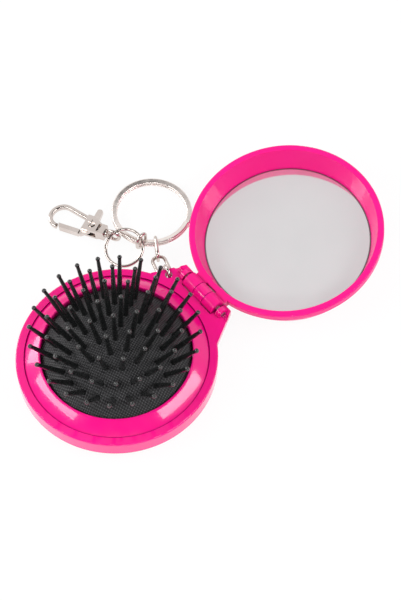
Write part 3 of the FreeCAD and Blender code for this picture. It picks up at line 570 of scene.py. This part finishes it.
# What the camera and the shines see of the floor, and the share of it in place of the grey
WHITE = (1.0, 1.0, 1.0)
WHITE_SHARE = 0.93
FLOOR_SHINE_COLOUR = (1.0, 0.98, 0.98)
FLOOR_SHINE = 1.25
FLOOR_SHINE_SHARE = 0.75


def glow(tree, colour, strength):
    node = tree.nodes.new("ShaderNodeEmission")
    tune(node, {"Color": (*colour, 1.0), "Strength": strength})
    return node.outputs["Emission"]


def floor_material():
    """Grey in the light, nearly white to the camera and pale in the shines."""
    material, tree, shader = new_material("floor")
    tune(shader, {
        "Base Color": (*FLOOR_GREY, 1.0),
        "Roughness": 0.9,
        "Specular IOR Level": 0.0,
    })
    path = tree.nodes.new("ShaderNodeLightPath")
    in_shines = maths(tree, "MULTIPLY", path.outputs["Is Glossy Ray"], FLOOR_SHINE_SHARE)
    in_sight = maths(tree, "MULTIPLY", path.outputs["Is Camera Ray"], WHITE_SHARE)
    pale = glow(tree, FLOOR_SHINE_COLOUR, FLOOR_SHINE)
    surface = mixed_shader(tree, in_shines, shader.outputs["BSDF"], pale)
    surface = mixed_shader(tree, in_sight, surface, glow(tree, WHITE, 1.0))
    out = next(node for node in tree.nodes if node.type == "OUTPUT_MATERIAL")
    link(tree, surface, out.inputs["Surface"])
    return material


def make_floor():
    data = bpy.data.meshes.new("floor")
    corners = [
        (-FLOOR_HALF, -FLOOR_HALF, 0.0), (FLOOR_HALF, -FLOOR_HALF, 0.0),
        (FLOOR_HALF, FLOOR_HALF, 0.0), (-FLOOR_HALF, FLOOR_HALF, 0.0),
    ]
    data.from_pydata(corners, [], [(0, 1, 2, 3)])
    floor = bpy.data.objects.new("floor", data)
    bpy.context.collection.objects.link(floor)
    data.materials.append(floor_material())


# Directions from the camera's side, and the centre of the base's rim

TURN = math.radians(39.2)
RIGHT = Vector((math.cos(TURN), -math.sin(TURN), 0.0))
AWAY = Vector((math.sin(TURN), math.cos(TURN), 0.0))
UP = Vector((0.0, 0.0, 1.0))
RIM_CENTRE = Vector((0.0, 0.0, 10.8 * MM))


def in_view(right, away, up):
    """A direction or place given as right, away and up from the camera's side."""
    return RIGHT * right + AWAY * away + UP * up


def standing_at(place, across, upward, back):
    """The matrix of an object at a place, with its own three axes."""
    return Matrix.Translation(place) @ Matrix((across, upward, back)).transposed().to_4x4()


# World

ROOM_TINT = (1.0, 0.985, 0.985)
# The room as light: height of the direction, and grey
ROOM_STOPS = ((0.0, 0.10), (0.45, 0.98))
ROOM_STRENGTH = 0.60
# The room in the shines: brightness of each form, and where its edges fade
ROOM_SHINE = 0.14
SKIRTING_SHINE = 0.40
SKIRTING_FADE = (0.16, 0.30)
WALL_SHINE = 0.90
WALL_SIDE_FADE = (0.05, 0.45)
WALL_FOOT_FADE = (0.06, 0.28)
WALL_TOP_FADE = (0.79, 0.84)
CARD_SHINE = 0.52
CARD_VIEW = (0.075, 0.401, 0.912)
CARD_FADE = (0.970, 0.984)


def background(tree, colour, strength):
    node = tree.nodes.new("ShaderNodeBackground")
    feed(tree, colour, node.inputs["Color"])
    feed(tree, strength, node.inputs["Strength"])
    return node.outputs["Background"]


def facing(tree, coord, direction):
    """How far a direction points along another, from -1 to 1."""
    node = tree.nodes.new("ShaderNodeVectorMath")
    node.operation = "DOT_PRODUCT"
    link(tree, coord, node.inputs[0])
    node.inputs[1].default_value = direction
    return node.outputs["Value"]


def room_light(tree, height):
    """What lights the object: a room that is paler higher up."""
    ramp = tree.nodes.new("ShaderNodeValToRGB")
    for element, (position, grey) in zip(ramp.color_ramp.elements, ROOM_STOPS):
        element.position = position
        element.color = (*(grey * tint for tint in ROOM_TINT), 1.0)
    link(tree, height, ramp.inputs["Fac"])
    return background(tree, ramp.outputs["Color"], ROOM_STRENGTH)


def room_in_shines(tree, coord, height):
    """What shiny surfaces see: a dark room with a skirting, a pale wall and a card."""
    side = spread(tree, facing(tree, coord, AWAY), 0.0, 1.0, WALL_SIDE_FADE)
    foot = spread(tree, height, 0.0, 1.0, WALL_FOOT_FADE)
    top = spread(tree, height, 1.0, 0.0, WALL_TOP_FADE)
    wall = maths(tree, "MULTIPLY", maths(tree, "MULTIPLY", side, foot), top)
    card = spread(tree, facing(tree, coord, CARD_VIEW), 0.0, 1.0, CARD_FADE)
    wall_shine = maths(tree, "MULTIPLY", wall, WALL_SHINE)
    card_shine = maths(tree, "MULTIPLY", card, CARD_SHINE)
    skirting = spread(tree, height, SKIRTING_SHINE, 0.0, SKIRTING_FADE)
    bright = maths(tree, "MAXIMUM", maths(tree, "ADD", wall_shine, card_shine), skirting)
    return background(tree, ROOM_TINT, maths(tree, "ADD", bright, ROOM_SHINE))


def make_world():
    """White to the camera, a pale room as light, and a darker room in the shines."""
    world = bpy.data.worlds.new("studio")
    bpy.context.scene.world = world
    world.use_nodes = True
    tree = world.node_tree
    tree.nodes.clear()
    coord = tree.nodes.new("ShaderNodeTexCoord").outputs["Generated"]
    split = tree.nodes.new("ShaderNodeSeparateXYZ")
    link(tree, coord, split.inputs["Vector"])
    height = split.outputs["Z"]
    path = tree.nodes.new("ShaderNodeLightPath")
    light, shine = room_light(tree, height), room_in_shines(tree, coord, height)
    surface = mixed_shader(tree, path.outputs["Is Glossy Ray"], light, shine)
    white = background(tree, WHITE, 1.0)
    surface = mixed_shader(tree, path.outputs["Is Camera Ray"], surface, white)
    out = tree.nodes.new("ShaderNodeOutputWorld")
    link(tree, surface, out.inputs["Surface"])


# Lights

# Name, place and direction of the long side as in_view takes them, length, width and watts
LIGHTS = (
    ("key", (-0.04, -0.557, 0.430), (1.0, 0.0, 0.0), 0.60, 0.07, 1.55),
    ("left", (-0.403, -0.067, 0.378), (-0.337, 0.617, -0.252), 0.44, 0.11, 1.35),
    ("right", (0.403, -0.067, 0.378), (0.337, 0.617, -0.252), 0.44, 0.11, 1.35),
    ("back", (-0.55, 0.35, 0.30), (0.0, 0.0, 1.0), 0.25, 0.25, 1.5),
)


def make_light(name, place, along, length, width, watts):
    """A softbox that faces the object, with its long side lying along a direction."""
    data = bpy.data.lights.new(name, "AREA")
    data.shape = "RECTANGLE"
    data.size = length
    data.size_y = width
    data.energy = watts
    light = bpy.data.objects.new(name, data)
    back = (place - RIM_CENTRE).normalized()
    side = (along - back * along.dot(back)).normalized()
    light.matrix_world = standing_at(place, side, back.cross(side), back)
    bpy.context.collection.objects.link(light)


# Camera

FOCAL_PIXELS = 1600.0
LONG_SIDE = 601.0
SENSOR = 36.0
NEAREST, FARTHEST = 0.01, 20.0
RISE = math.radians(58.84)
DISTANCE = 520.6 * MM
SHIFT_RIGHT = -27.21 * MM
SHIFT_UP = -17.42 * MM


def make_camera():
    """The photograph's view: the base's rim centre sits off the picture's middle."""
    forward = AWAY * math.cos(RISE) - UP * math.sin(RISE)
    top = AWAY * math.sin(RISE) + UP * math.cos(RISE)
    data = bpy.data.cameras.new("camera")
    data.sensor_width = SENSOR
    data.lens = FOCAL_PIXELS * SENSOR / LONG_SIDE
    data.clip_start = NEAREST
    data.clip_end = FARTHEST
    camera = bpy.data.objects.new("camera", data)
    place = RIM_CENTRE - (RIGHT * SHIFT_RIGHT + top * SHIFT_UP + forward * DISTANCE)
    camera.matrix_world = standing_at(place, RIGHT, top, -forward)
    bpy.context.collection.objects.link(camera)
    bpy.context.scene.camera = camera


make_floor()
make_world()
for name, place, along, length, width, watts in LIGHTS:
    make_light(name, in_view(*place), in_view(*along), length, width, watts)
make_camera()
scene = bpy.context.scene
scene.view_settings.view_transform = "Standard"
scene.view_settings.look = "None"
